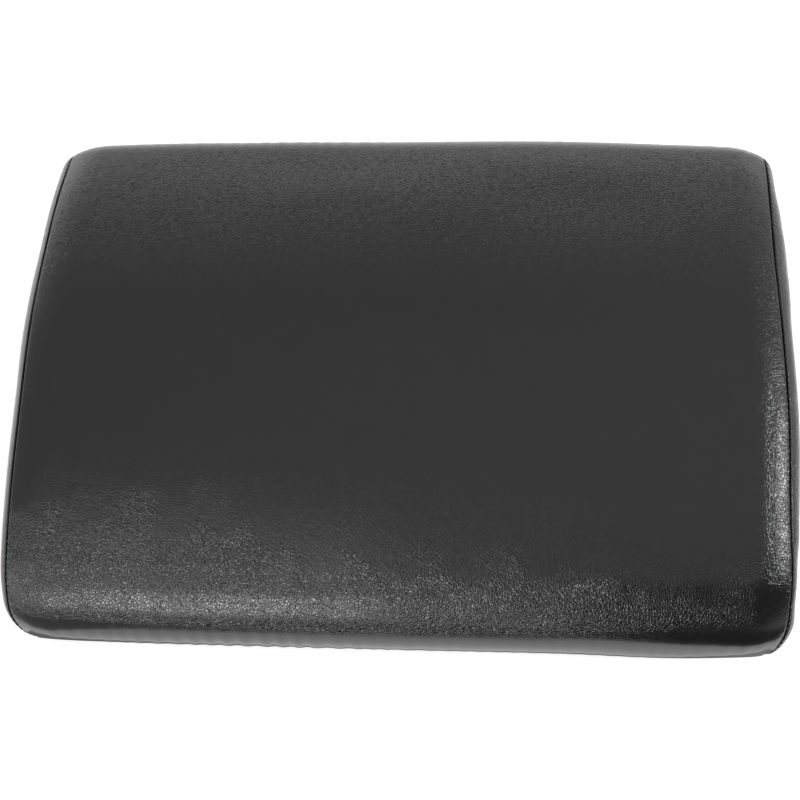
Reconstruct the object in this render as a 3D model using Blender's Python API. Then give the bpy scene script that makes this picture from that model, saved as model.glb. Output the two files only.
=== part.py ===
"""Ab mat: a shaped foam block in a sewn cover, closed by a zip in the cover's underside.

Units are metres. X runs across the mat, from one side panel to the other. Y runs along it, from
the steep near end to the thin far end. Z is up, and the mat lies on Z = 0. The origin is under
the middle of the mat. The functions below measure Y from the near end's base line, and add_object
moves everything back to the middle.
"""
import math
from collections import namedtuple

import bmesh
import bpy
from mathutils import Vector

# Padded shape, measured at the seams
SEAM_WIDTH = 0.366  # across, from side seam to side seam
BASE_LENGTH = 0.266  # along, from the near end to the far end
SEAM_HEIGHT = 0.057  # height of the side seams at the crest
CREST_SETBACK = 0.121  # from the near end to the crest
NEAR_WALL_HEIGHT = 0.0055  # up the steep end to where its rounding starts
NEAR_FILLET = 0.038  # rounding of the steep end
FAR_WALL_HEIGHT = 0.0088  # up the thin end to where its rounding starts
FAR_FILLET = 0.018  # rounding of the thin end

# Crown of the padding between the seams
ROLL_HEIGHT = 0.0044  # quick rise beside a side seam
ROLL_WIDTH = 0.018  # width of that rise
CROWN_HEIGHT = 0.0048  # slow rise from there to the middle
SIDE_BULGE = 0.006  # how far a side panel swells out
BASE_FADE = 0.030  # height over which the ends and sides draw in to the base seam
BASE_DRAW_IN = 0.008  # how far the sides draw in at the base seam

# Cover and its seams
COVER_THICKNESS = 0.0012
FIT_GAP = 0.0003  # between layers that touch
SEAM_NOTCH = 0.0009  # how far a panel's edge stops short of the seam line
THREAD_RADIUS = 0.00025

# Zip in the underside
ZIP_SETBACK = 0.085  # from the far end to the zip's middle line
ZIP_MARGIN = 0.040  # from the base seam to the stops, at each end
STOP_LENGTH = 0.003
TAPE_OVERHANG = 0.012  # tape beyond the stops, at each end
TAPE_WIDTH = 0.0155
TAPE_THICKNESS = 0.0005
COIL_WIDTH = 0.0026  # of one row
COIL_HEIGHT = 0.0020
SLOT_HALF_WIDTH = 0.006  # from the zip's middle line to a panel's edge
SLOT_OVERHANG = 0.003  # slot beyond the stops, at each end
SLOT_END = 0.004  # length over which the slot narrows at its ends
STITCH_SETBACK = 0.0025  # zip stitching, from the panel's edge
FLOOR_GAP = 0.0009  # under the slider's arch
VALLEY_MARGIN = 0.002  # flat part of the valley, beyond the tape
VALLEY_SLOPE = 0.024  # width of the valley's sides
RELIEF_MARGIN = 0.001  # by which the foam's channel is wider than the valley
RELIEF_CLEARANCE = 0.0009  # above the slider

# Slider and pull
SLIDER_LENGTH = 0.012
PLATE_THICKNESS = 0.0010
WEB_THICKNESS = 0.0006
FLANGE_THICKNESS = 0.0008
COIL_SIDE_GAP = 0.0004  # between a coil row and the slider's flange
ARCH_LENGTH = 0.008
ARCH_WIDTH = 0.0020
ARCH_BAR = 0.0009
ARCH_SPACE = 0.0017  # inside the arch, for the pull's end bar
PULL_LENGTH = 0.022
PULL_WIDTH = 0.0064
PULL_THICKNESS = 0.0010
PULL_NECK_WIDTH = 0.0052
PULL_ARM_GAP = 0.0004  # between the arch and the pull's arms
PULL_WINDOW_LENGTH = 0.0082
PULL_HINGE_SETBACK = 0.0021  # from the arch's end to the pull's hinge line
PULL_SLOT_LENGTH = 0.005
PULL_SLOT_WIDTH = 0.0022
SLIDER_BEVEL = 0.0002
OVERRUN = 0.001  # of a cutter past what it cuts

# Steps of the meshes
WALL_STEPS = 1
NEAR_FILLET_STEPS = 6
NEAR_CREST_STEPS = 7
FAR_CREST_STEPS = 10
FAR_FILLET_STEPS = 5
COLUMN_STEPS = 16
SIDE_STEPS = 4
SLOPE_STEPS = 4
SLOT_STEPS = 6
ARM_STEPS = 5
MERGE_DISTANCE = 1e-6

# Levels of the layers, from the floor up
LAYER = COVER_THICKNESS + FIT_GAP
ARCH_BOTTOM = FLOOR_GAP
OUTER_PLATE_BOTTOM = ARCH_BOTTOM + ARCH_BAR + ARCH_SPACE
COIL_BOTTOM = OUTER_PLATE_BOTTOM + PLATE_THICKNESS + FIT_GAP
TAPE_BOTTOM = COIL_BOTTOM + COIL_HEIGHT + FIT_GAP
INNER_PLATE_BOTTOM = TAPE_BOTTOM + TAPE_THICKNESS + FIT_GAP
SLIDER_TOP = INNER_PLATE_BOTTOM + PLATE_THICKNESS
VALLEY_HEIGHT = TAPE_BOTTOM - FIT_GAP - COVER_THICKNESS
RELIEF_HEIGHT = SLIDER_TOP + RELIEF_CLEARANCE - LAYER

# Places that follow from the sizes above
BASE_HALF_WIDTH = SEAM_WIDTH / 2 - BASE_DRAW_IN
CORE_BASE_HALF_WIDTH = BASE_HALF_WIDTH - LAYER
ZIP_HALF = BASE_HALF_WIDTH - ZIP_MARGIN
ZIP_Y = BASE_LENGTH - ZIP_SETBACK
TAPE_HALF_LENGTH = ZIP_HALF + TAPE_OVERHANG
ROW_INNER = WEB_THICKNESS / 2 + FIT_GAP
ROW_OUTER = ROW_INNER + COIL_WIDTH
TAPE_OUTER = ROW_INNER + TAPE_WIDTH
FLANGE_INNER = ROW_OUTER + COIL_SIDE_GAP
FLANGE_OUTER = FLANGE_INNER + FLANGE_THICKNESS
VALLEY_HALF_FLAT = TAPE_OUTER + VALLEY_MARGIN
VALLEY_END_FLAT = TAPE_HALF_LENGTH + VALLEY_MARGIN
VALLEY_FOOT = CORE_BASE_HALF_WIDTH - RELIEF_MARGIN
SLIDER_REST_X = ZIP_HALF - STOP_LENGTH - FIT_GAP - SLIDER_LENGTH / 2
PULL_HINGE_X = SLIDER_REST_X - ARCH_LENGTH / 2 + PULL_HINGE_SETBACK
PULL_HINGE_Z = ARCH_BOTTOM + ARCH_BAR + ARCH_SPACE / 2

# One place along the mat's long outline: its point, the angle of its outward normal, and how far
# along the outline it is from the near end's base seam
Station = namedtuple("Station", "y z angle run")


def clear_scene():
    for item in list(bpy.data.objects):
        bpy.data.objects.remove(item, do_unlink=True)


def make_material(name, color, roughness, metallic=0.0):
    material = bpy.data.materials.new(name)
    material.use_nodes = True
    shader = material.node_tree.nodes["Principled BSDF"]
    shader.inputs["Base Color"].default_value = (*color, 1.0)
    shader.inputs["Roughness"].default_value = roughness
    shader.inputs["Metallic"].default_value = metallic
    return material


def leather(name):
    return make_material(name, (0.036, 0.036, 0.038), 0.45)


def thread(name):
    return make_material(name, (0.012, 0.012, 0.012), 0.6)


def foam(name):
    return make_material(name, (0.30, 0.30, 0.28), 0.95)


def tape_weave(name):
    return make_material(name, (0.018, 0.018, 0.020), 0.85)


def nylon(name):
    return make_material(name, (0.022, 0.022, 0.024), 0.35)


def black_metal(name):
    return make_material(name, (0.05, 0.05, 0.052), 0.35, 1.0)


# Outline of the padded shape, seen from the side


def crest_curve(reach, wall_height, radius):
    """Radius of the curve from the crest down to an end's rounding, and the angle it turns.

    reach is from the crest to the rounding's centre. The curve is level at the crest, and it meets
    the rounding smoothly.
    """
    drop = SEAM_HEIGHT - wall_height
    curve = (reach**2 + drop**2 - radius**2) / (2 * (drop - radius))
    return curve, math.atan2(reach, curve - drop)


def make_stations():
    """The outline from the near end's base seam, over the crest, to the far end's."""
    near_reach = CREST_SETBACK - NEAR_FILLET
    far_reach = BASE_LENGTH - FAR_FILLET - CREST_SETBACK
    near_curve, near_turn = crest_curve(near_reach, NEAR_WALL_HEIGHT, NEAR_FILLET)
    far_curve, far_turn = crest_curve(far_reach, FAR_WALL_HEIGHT, FAR_FILLET)
    level = math.pi / 2
    near_angle = level + near_turn
    far_angle = level - far_turn
    far_y = BASE_LENGTH - FAR_FILLET
    near_z = SEAM_HEIGHT - near_curve
    far_z = SEAM_HEIGHT - far_curve
    arcs = [
        (NEAR_FILLET, NEAR_WALL_HEIGHT, NEAR_FILLET, math.pi, near_angle, NEAR_FILLET_STEPS),
        (CREST_SETBACK, near_z, near_curve, near_angle, level, NEAR_CREST_STEPS),
        (CREST_SETBACK, far_z, far_curve, level, far_angle, FAR_CREST_STEPS),
        (far_y, FAR_WALL_HEIGHT, FAR_FILLET, far_angle, 0.0, FAR_FILLET_STEPS),
    ]
    stations = []
    near_wall = NEAR_WALL_HEIGHT - LAYER
    for step in range(WALL_STEPS):
        up = near_wall * step / WALL_STEPS
        stations.append(Station(0.0, LAYER + up, math.pi, up))
    run = near_wall
    for centre_y, centre_z, radius, start, end, steps in arcs:
        for step in range(steps):
            angle = start + (end - start) * step / steps
            y = centre_y + radius * math.cos(angle)
            z = centre_z + radius * math.sin(angle)
            stations.append(Station(y, z, angle, run + radius * (start - angle)))
        run += radius * (start - end)
    far_wall = FAR_WALL_HEIGHT - LAYER
    for step in range(WALL_STEPS + 1):
        down = far_wall * step / WALL_STEPS
        stations.append(Station(BASE_LENGTH, FAR_WALL_HEIGHT - down, 0.0, run + down))
    return stations


STATIONS = make_stations()
TOTAL_RUN = STATIONS[-1].run


def rolled(distance, width):
    """0 at a seam, rising to 1 at the given width like a padded edge."""
    left = max(0.0, 1.0 - distance / width)
    return 1.0 - left * left


def smooth(share):
    share = min(1.0, max(0.0, share))
    return share * share * (3.0 - 2.0 * share)


def base_distance(station):
    return min(station.run, TOTAL_RUN - station.run)


def half_width(station):
    """Half the width between the side seams."""
    pull = max(0.0, 1.0 - base_distance(station) / BASE_FADE)
    return SEAM_WIDTH / 2 - BASE_DRAW_IN * pull * pull


def crown(station, x):
    half = half_width(station)
    share = x / half
    rise = ROLL_HEIGHT * rolled(half - abs(x), ROLL_WIDTH) + CROWN_HEIGHT * (1.0 - share * share)
    return rise * rolled(base_distance(station), BASE_FADE)


def skin_point(station, x, depth):
    """A point below the cover's outer face by depth, measured along the outline's normal."""
    out = crown(station, x) - depth
    y = station.y + math.cos(station.angle) * out
    z = station.z + math.sin(station.angle) * out
    return Vector((x, y, z))


def column_positions(half):
    """Places across the mat, closer together towards the side seams."""
    turns = [math.pi * (step / COLUMN_STEPS - 0.5) for step in range(COLUMN_STEPS + 1)]
    return [half * math.sin(turn) for turn in turns]


def skin_grid(depth, setback):
    """Rows of points over the mat, ending short of the side seams by setback."""
    rows = []
    for station in STATIONS:
        columns = column_positions(half_width(station) - setback)
        rows.append([skin_point(station, x, depth) for x in columns])
    return rows


def side_grid(side, depth, top_edge):
    """Rows from a side's base line up to its top edge, one row for each station."""
    rows = []
    for station, top in zip(STATIONS, top_edge):
        share_along = station.run / TOTAL_RUN
        base_y = LAYER + (BASE_LENGTH - 2 * LAYER) * share_along
        swell = SIDE_BULGE * rolled(base_distance(station), BASE_FADE)
        row = []
        for step in range(SIDE_STEPS + 1):
            up = step / SIDE_STEPS
            bulge = swell * (1.0 - (2.0 * up - 1.0) ** 4)
            x = half_width(station) * up + BASE_HALF_WIDTH * (1.0 - up) + bulge - depth
            y = base_y + (top.y - base_y) * up
            z = LAYER + (top.z - LAYER) * up
            row.append(Vector((side * x, y, z)))
        rows.append(row)
    return rows


def outer_reach():
    """The lowest and highest Y of the finished cover."""
    points = [point for row in skin_grid(0.0, SEAM_NOTCH) for point in row]
    return min(point.y for point in points), max(point.y for point in points)


MIDDLE_Y = sum(outer_reach()) / 2


# Meshes


def add_object(name, build, material, pivot=Vector(), parent=None):
    """Make an object from a mesh builder, with its origin at pivot."""
    mesh = bpy.data.meshes.new(name)
    bm = bmesh.new()
    build(bm)
    bmesh.ops.translate(bm, vec=-pivot, verts=bm.verts)
    bmesh.ops.recalc_face_normals(bm, faces=bm.faces)
    bm.to_mesh(mesh)
    bm.free()
    mesh.materials.append(material)
    item = bpy.data.objects.new(name, mesh)
    item.location = pivot - Vector((0.0, MIDDLE_Y, 0.0))
    item.parent = parent
    bpy.context.collection.objects.link(item)
    return item


def shade_round(item, degrees=35):
    item.data.shade_smooth()
    item.data.set_sharp_from_angle(angle=math.radians(degrees))


def grid_faces(bm, rows):
    """Faces over rows of points, and the vertices they use."""
    made = [[bm.verts.new(point) for point in row] for row in rows]
    for lower, upper in zip(made, made[1:]):
        for index in range(len(lower) - 1):
            bm.faces.new((lower[index], lower[index + 1], upper[index + 1], upper[index]))
    return made


def rim(made):
    """The vertices round the edge of a grid."""
    left = [row[0] for row in made[1:-1]]
    right = [row[-1] for row in made[1:-1]]
    return made[0] + right + made[-1][::-1] + left[::-1]


def sheet_between(bm, outer_rows, inner_rows):
    """A closed sheet between two grids of the same size."""
    outer = rim(grid_faces(bm, outer_rows))
    inner = rim(grid_faces(bm, inner_rows))
    for index, corner in enumerate(outer):
        last = index - 1
        bm.faces.new((outer[last], corner, inner[index], inner[last]))
    tidy(bm)


def tidy(bm):
    """Join the points that coincide, where a grid's end runs to a point."""
    bmesh.ops.remove_doubles(bm, verts=bm.verts, dist=MERGE_DISTANCE)
    bmesh.ops.dissolve_degenerate(bm, edges=bm.edges, dist=MERGE_DISTANCE)


def box(bm, low, high):
    size = [b - a for a, b in zip(low, high)]
    middle = [(a + b) / 2 for a, b in zip(low, high)]
    made = bmesh.ops.create_cube(bm, size=1.0)["verts"]
    bmesh.ops.scale(bm, vec=size, verts=made)
    bmesh.ops.translate(bm, vec=middle, verts=made)


def extrude_outline(bm, points, step):
    """A closed solid: a flat outline of points, carried along step."""
    face = bm.faces.new([bm.verts.new(point) for point in points])
    made = bmesh.ops.extrude_face_region(bm, geom=[face])["geom"]
    verts = [part for part in made if isinstance(part, bmesh.types.BMVert)]
    bmesh.ops.translate(bm, vec=step, verts=verts)


def add_tube(name, points, radius, material, closed=False):
    """A thread: a round line through the points."""
    curve = bpy.data.curves.new(name, "CURVE")
    curve.dimensions = "3D"
    curve.bevel_depth = radius
    curve.bevel_resolution = 0
    curve.use_fill_caps = not closed
    spline = curve.splines.new("POLY")
    spline.points.add(len(points) - 1)
    for target, point in zip(spline.points, points):
        target.co = (*point, 1.0)
    spline.use_cyclic_u = closed
    curve.materials.append(material)
    item = bpy.data.objects.new(name, curve)
    item.location = (0.0, -MIDDLE_Y, 0.0)
    bpy.context.collection.objects.link(item)
    return item


def cut_away(item, cutter):
    """Cut one solid out of another, and keep the cutter as a hidden guide."""
    cutter.hide_render = True
    cutter.display_type = "WIRE"
    modifier = item.modifiers.new("cut", "BOOLEAN")
    modifier.operation = "DIFFERENCE"
    modifier.solver = "EXACT"
    modifier.object = cutter


def bevel_edges(item, width):
    modifier = item.modifiers.new("edges", "BEVEL")
    modifier.width = width
    modifier.segments = 1
    modifier.limit_method = "ANGLE"


# Foam block and cover


def relief(x, y):
    """Height of the channel in the foam's underside, which the zip presses in."""
    flat = VALLEY_HALF_FLAT + RELIEF_MARGIN
    across = (flat + VALLEY_SLOPE - abs(y - ZIP_Y)) / VALLEY_SLOPE
    along = (CORE_BASE_HALF_WIDTH - abs(x)) / (CORE_BASE_HALF_WIDTH - VALLEY_END_FLAT)
    return RELIEF_HEIGHT * smooth(across) * smooth(along)


def valley(x, distance):
    """Height of the underside's outer face, at a distance from the zip's middle line."""
    across = (VALLEY_HALF_FLAT + VALLEY_SLOPE - distance) / VALLEY_SLOPE
    along = (VALLEY_FOOT - abs(x)) / (VALLEY_FOOT - VALLEY_END_FLAT)
    return VALLEY_HEIGHT * smooth(across) * smooth(along)


def side_top_edge():
    """Top edge of the sides, tucked under the top panel's edge."""
    edge = []
    for station in STATIONS:
        y = station.y - math.cos(station.angle) * LAYER
        z = station.z - math.sin(station.angle) * LAYER
        edge.append(Vector((0.0, y, z)))
    return edge


def build_core(bm):
    edge = side_top_edge()
    top = skin_grid(LAYER, LAYER)
    for row, corner in zip(top, edge):
        row[0] = Vector((row[0].x, corner.y, corner.z))
        row[-1] = Vector((row[-1].x, corner.y, corner.z))
    grid_faces(bm, top)
    grid_faces(bm, side_grid(-1, LAYER, edge))
    right_side = side_grid(1, LAYER, edge)
    grid_faces(bm, right_side)
    base = []
    for row in right_side:
        base_y = row[0].y
        columns = column_positions(CORE_BASE_HALF_WIDTH)
        base.append([Vector((x, base_y, LAYER + relief(x, base_y))) for x in columns])
    grid_faces(bm, base)
    tidy(bm)


def add_foam_core():
    core = add_object("foam_core", build_core, foam("foam"))
    shade_round(core)


def build_top_panel(bm):
    sheet_between(bm, skin_grid(0.0, SEAM_NOTCH), skin_grid(COVER_THICKNESS, SEAM_NOTCH))


def add_top_panel():
    panel = add_object("top_panel", build_top_panel, leather("top_leather"))
    shade_round(panel)


def add_side_panel(name, side):
    edge = side_top_edge()

    def build(bm):
        sheet_between(bm, side_grid(side, 0.0, edge), side_grid(side, COVER_THICKNESS, edge))

    panel = add_object(name, build, leather(name + "_leather"))
    shade_round(panel)


def base_columns():
    """Places across the underside, with one at each turn of the slot and the valley."""
    slot_end = ZIP_HALF + SLOT_OVERHANG
    half = [slot_end * step / SLOT_STEPS for step in range(1, SLOT_STEPS + 1)]
    half.append(slot_end + SLOT_END)
    for step in range(SLOPE_STEPS + 1):
        half.append(VALLEY_END_FLAT + (VALLEY_FOOT - VALLEY_END_FLAT) * step / SLOPE_STEPS)
    half.append(BASE_HALF_WIDTH - SEAM_NOTCH)
    return [-x for x in reversed(half)] + [0.0] + half


def slot_edge(x):
    """Distance of a panel's edge from the zip's middle line."""
    closed = FIT_GAP / 2
    past = (abs(x) - ZIP_HALF - SLOT_OVERHANG) / SLOT_END
    return closed + (SLOT_HALF_WIDTH - closed) * (1.0 - smooth(past))


def underside_rows(side, reach, lift):
    """Rows from the slot's edge out to the base seam, which lies reach from the zip's line."""
    foot = VALLEY_HALF_FLAT + VALLEY_SLOPE
    distances = [VALLEY_HALF_FLAT + VALLEY_SLOPE * s / SLOPE_STEPS for s in range(SLOPE_STEPS)]
    distances += [foot, (foot + reach) / 2, reach]
    columns = base_columns()
    rows = [[Vector((x, slot_edge(x), valley(x, slot_edge(x)))) for x in columns]]
    for distance in distances:
        rows.append([Vector((x, distance, valley(x, distance))) for x in columns])
    for row in rows:
        for point in row:
            point.y = ZIP_Y + side * point.y
            point.z += lift
    return rows


def add_underside(name, side, reach):
    def build(bm):
        outer = underside_rows(side, reach, 0.0)
        inner = underside_rows(side, reach, COVER_THICKNESS)
        sheet_between(bm, outer, inner)

    panel = add_object(name, build, leather(name + "_leather"))
    shade_round(panel)


def add_side_thread(name, side):
    """The stitch line in the notch between the top panel and a side panel."""
    setback = SEAM_NOTCH - FIT_GAP - THREAD_RADIUS
    depth = COVER_THICKNESS - THREAD_RADIUS
    points = []
    for station in STATIONS:
        y = station.y - math.cos(station.angle) * depth
        z = station.z - math.sin(station.angle) * depth
        points.append((side * (half_width(station) - setback), y, z))
    add_tube(name, points, THREAD_RADIUS, thread(name + "_yarn"))


def add_base_thread():
    """The stitch line round the bottom edge."""
    setback = SEAM_NOTCH - FIT_GAP - THREAD_RADIUS
    x = BASE_HALF_WIDTH - setback
    z = COVER_THICKNESS - THREAD_RADIUS
    near = setback
    far = BASE_LENGTH - setback
    corners = [(-x, near, z), (x, near, z), (x, far, z), (-x, far, z)]
    add_tube("base_seam_thread", corners, THREAD_RADIUS, thread("base_yarn"), closed=True)


# Zip


def zip_bar(bm, side, x_range, y_range, z_range):
    """A straight bar beside the zip's middle line, on the near side (-1) or the far side (1)."""
    ys = sorted(ZIP_Y + side * y for y in y_range)
    box(bm, (x_range[0], ys[0], z_range[0]), (x_range[1], ys[1], z_range[1]))


def add_tape(name, side):
    def build(bm):
        along = (-TAPE_HALF_LENGTH, TAPE_HALF_LENGTH)
        up = (TAPE_BOTTOM, TAPE_BOTTOM + TAPE_THICKNESS)
        zip_bar(bm, side, along, (ROW_INNER, TAPE_OUTER), up)

    add_object(name, build, tape_weave(name + "_weave"))


def add_coil(name, side):
    """One row of the coil, as the bar that its turns fill."""
    corner = COIL_HEIGHT / 4
    low, high = COIL_BOTTOM, COIL_BOTTOM + COIL_HEIGHT
    end = ZIP_HALF - STOP_LENGTH - FIT_GAP
    outline = [
        (ROW_INNER, low + corner),
        (ROW_INNER + corner, low),
        (ROW_OUTER - corner, low),
        (ROW_OUTER, low + corner),
        (ROW_OUTER, high - corner),
        (ROW_OUTER - corner, high),
        (ROW_INNER + corner, high),
        (ROW_INNER, high - corner),
    ]

    def build(bm):
        points = [Vector((-end, ZIP_Y + side * y, z)) for y, z in outline]
        extrude_outline(bm, points, Vector((2 * end, 0.0, 0.0)))

    coil = add_object(name, build, nylon(name + "_nylon"))
    shade_round(coil, 50)


def add_top_stop(name, side):
    """A small clip on one tape at the closed end."""

    def build(bm):
        along = (ZIP_HALF - STOP_LENGTH, ZIP_HALF)
        up = (COIL_BOTTOM, COIL_BOTTOM + COIL_HEIGHT)
        zip_bar(bm, side, along, (ROW_INNER, ROW_OUTER), up)

    stop = add_object(name, build, black_metal(name + "_metal"))
    bevel_edges(stop, SLIDER_BEVEL)


def add_bottom_stop():
    """One clip across both rows at the open end."""

    def build(bm):
        along = (-ZIP_HALF, -ZIP_HALF + STOP_LENGTH)
        up = (COIL_BOTTOM, COIL_BOTTOM + COIL_HEIGHT)
        zip_bar(bm, 1, along, (-ROW_OUTER, ROW_OUTER), up)

    stop = add_object("zip_bottom_stop", build, black_metal("bottom_stop_metal"))
    bevel_edges(stop, SLIDER_BEVEL)


def slider_section():
    """Half of the slider's section from its outer plate to its inner plate, as (y, z)."""
    plate_top = OUTER_PLATE_BOTTOM + PLATE_THICKNESS
    flange_top = TAPE_BOTTOM - FIT_GAP
    return [
        (FLANGE_OUTER, OUTER_PLATE_BOTTOM),
        (FLANGE_OUTER, flange_top),
        (FLANGE_INNER, flange_top),
        (FLANGE_INNER, plate_top),
        (WEB_THICKNESS / 2, plate_top),
        (WEB_THICKNESS / 2, INNER_PLATE_BOTTOM),
        (FLANGE_OUTER, INNER_PLATE_BOTTOM),
        (FLANGE_OUTER, SLIDER_TOP),
    ]


def build_slider_body(bm):
    half = slider_section()
    outline = half + [(-y, z) for y, z in reversed(half)]
    start = SLIDER_REST_X - SLIDER_LENGTH / 2
    points = [Vector((start, ZIP_Y + y, z)) for y, z in outline]
    extrude_outline(bm, points, Vector((SLIDER_LENGTH, 0.0, 0.0)))


def build_arch(bm):
    """The arch under the outer plate that holds the pull, let into the plate by half of it."""
    root = OUTER_PLATE_BOTTOM + PLATE_THICKNESS / 2
    bar_top = ARCH_BOTTOM + ARCH_BAR
    end = ARCH_LENGTH / 2
    inner = end - ARCH_BAR
    corner = ARCH_BAR / 2
    half = [(end, root), (end, ARCH_BOTTOM + corner), (end - corner, ARCH_BOTTOM)]
    inside = [(-inner, root), (-inner, bar_top), (inner, bar_top), (inner, root)]
    outline = half + [(-x, z) for x, z in reversed(half)] + inside
    y = ZIP_Y - ARCH_WIDTH / 2
    points = [Vector((SLIDER_REST_X + x, y, z)) for x, z in outline]
    extrude_outline(bm, points, Vector((0.0, ARCH_WIDTH, 0.0)))


def add_slider():
    """The slider: two plates joined by a thin web, with flanges round the coil."""
    metal = black_metal("slider_metal")
    pivot = Vector((SLIDER_REST_X, ZIP_Y, COIL_BOTTOM))
    slider = add_object("zip_slider", build_slider_body, metal, pivot)
    arch = add_object("arch_guide", build_arch, metal)
    arch.hide_render = True
    arch.display_type = "WIRE"
    modifier = slider.modifiers.new("arch", "BOOLEAN")
    modifier.operation = "UNION"
    modifier.solver = "EXACT"
    modifier.object = arch
    bevel_edges(slider, SLIDER_BEVEL)
    return slider


def pull_outline():
    """Half of the pull's outline, from its end bar to the tip, as distances (along, across)."""
    bar = PULL_THICKNESS / 2
    neck = PULL_NECK_WIDTH / 2
    wide = PULL_WIDTH / 2
    window_end = PULL_WINDOW_LENGTH - bar
    half = [(-bar, neck), (window_end, neck), (window_end + neck, wide)]
    for step in range(ARM_STEPS):
        turn = math.pi / 2 * step / ARM_STEPS
        along = PULL_LENGTH - wide + wide * math.sin(turn)
        half.append((along, wide * math.cos(turn)))
    return half


def build_pull(bm):
    half = pull_outline()
    tip = [(PULL_LENGTH, 0.0)]
    outline = half + tip + [(along, -across) for along, across in reversed(half)]
    bottom = PULL_HINGE_Z - PULL_THICKNESS / 2
    points = []
    for along, across in outline:
        points.append(Vector((PULL_HINGE_X - along, ZIP_Y + across, bottom)))
    extrude_outline(bm, points, Vector((0.0, 0.0, PULL_THICKNESS)))


def build_pull_cuts(bm):
    """The window that straddles the arch, and the slot in the tab."""
    low = PULL_HINGE_Z - PULL_THICKNESS / 2 - OVERRUN
    high = PULL_HINGE_Z + PULL_THICKNESS / 2 + OVERRUN
    bar = PULL_THICKNESS / 2
    window_half = ARCH_WIDTH / 2 + PULL_ARM_GAP
    window_end = PULL_HINGE_X - PULL_WINDOW_LENGTH + bar
    box(
        bm,
        (window_end, ZIP_Y - window_half, low),
        (PULL_HINGE_X - bar, ZIP_Y + window_half, high),
    )
    slot_end = PULL_HINGE_X - PULL_LENGTH + PULL_WIDTH / 2
    box(
        bm,
        (slot_end, ZIP_Y - PULL_SLOT_WIDTH / 2, low),
        (slot_end + PULL_SLOT_LENGTH, ZIP_Y + PULL_SLOT_WIDTH / 2, high),
    )


def add_pull(slider):
    """The pull tab, which swings on the slider's arch. Its origin is on its hinge line."""
    metal = black_metal("pull_metal")
    pivot = Vector((PULL_HINGE_X, ZIP_Y, PULL_HINGE_Z))
    pull = add_object("zip_pull", build_pull, metal, pivot)
    cuts = add_object("pull_cuts", build_pull_cuts, metal)
    cut_away(pull, cuts)
    bevel_edges(pull, SLIDER_BEVEL)
    return pull


def add_zip_stitching(name, side):
    """The row of stitches that holds a tape to its panel, lying on the panel's outer face."""
    y = ZIP_Y + side * (SLOT_HALF_WIDTH + STITCH_SETBACK)
    z = VALLEY_HEIGHT - FIT_GAP - THREAD_RADIUS
    ends = [(-TAPE_HALF_LENGTH, y, z), (TAPE_HALF_LENGTH, y, z)]
    add_tube(name, ends, THREAD_RADIUS, thread(name + "_yarn"))


def main():
    clear_scene()
    add_foam_core()
    add_top_panel()
    add_side_panel("left_side_panel", -1)
    add_side_panel("right_side_panel", 1)
    add_underside("base_panel", -1, ZIP_Y - SEAM_NOTCH)
    add_underside("base_strip", 1, ZIP_SETBACK - SEAM_NOTCH)
    add_side_thread("left_seam_thread", -1)
    add_side_thread("right_seam_thread", 1)
    add_base_thread()
    for name, side in (("near", -1), ("far", 1)):
        add_tape("zip_tape_" + name, side)
        add_coil("zip_coil_" + name, side)
        add_top_stop("zip_top_stop_" + name, side)
        add_zip_stitching("zip_stitching_" + name, side)
    add_bottom_stop()
    slider = add_slider()
    add_pull(slider)


main()
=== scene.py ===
import math

import bpy
import numpy as np
from mathutils import Matrix, Vector


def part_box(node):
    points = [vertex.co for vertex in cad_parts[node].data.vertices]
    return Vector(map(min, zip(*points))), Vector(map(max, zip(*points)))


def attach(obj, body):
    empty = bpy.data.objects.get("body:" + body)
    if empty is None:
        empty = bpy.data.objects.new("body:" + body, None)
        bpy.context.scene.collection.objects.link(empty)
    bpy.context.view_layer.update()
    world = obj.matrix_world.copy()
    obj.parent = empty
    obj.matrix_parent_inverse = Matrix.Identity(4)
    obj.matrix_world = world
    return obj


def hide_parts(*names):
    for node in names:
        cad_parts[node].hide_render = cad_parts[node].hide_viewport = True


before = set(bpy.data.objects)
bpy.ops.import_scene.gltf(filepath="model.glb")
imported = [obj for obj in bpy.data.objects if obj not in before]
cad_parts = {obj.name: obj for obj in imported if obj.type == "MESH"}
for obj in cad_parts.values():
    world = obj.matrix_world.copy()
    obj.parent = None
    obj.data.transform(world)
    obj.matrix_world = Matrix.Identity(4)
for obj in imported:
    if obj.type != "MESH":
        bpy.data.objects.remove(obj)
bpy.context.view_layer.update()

# The looks of the ab mat: a sewn and padded leather-look cover, its seams and stitches, its foam
# and its zip, on a pale floor in soft light. Everything is in metres, in the frame's own axes.
# X runs across the mat, Y from its steep near end to its thin far end, and Z up.

# Padded shape at the seams, as it is constructed
SEAM_WIDTH = 0.366
SEAM_HEIGHT = 0.057
CREST_SETBACK = 0.121
NEAR_WALL_HEIGHT = 0.0055
NEAR_FILLET = 0.038
FAR_WALL_HEIGHT = 0.0088
FAR_FILLET = 0.018
ROLL_HEIGHT = 0.0044
ROLL_WIDTH = 0.018
CROWN_HEIGHT = 0.0048
SIDE_BULGE = 0.006
BASE_FADE = 0.030
COVER_THICKNESS = 0.0012
FIT_GAP = 0.0003
SEAM_NOTCH = 0.0009
LAYER = COVER_THICKNESS + FIT_GAP

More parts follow.
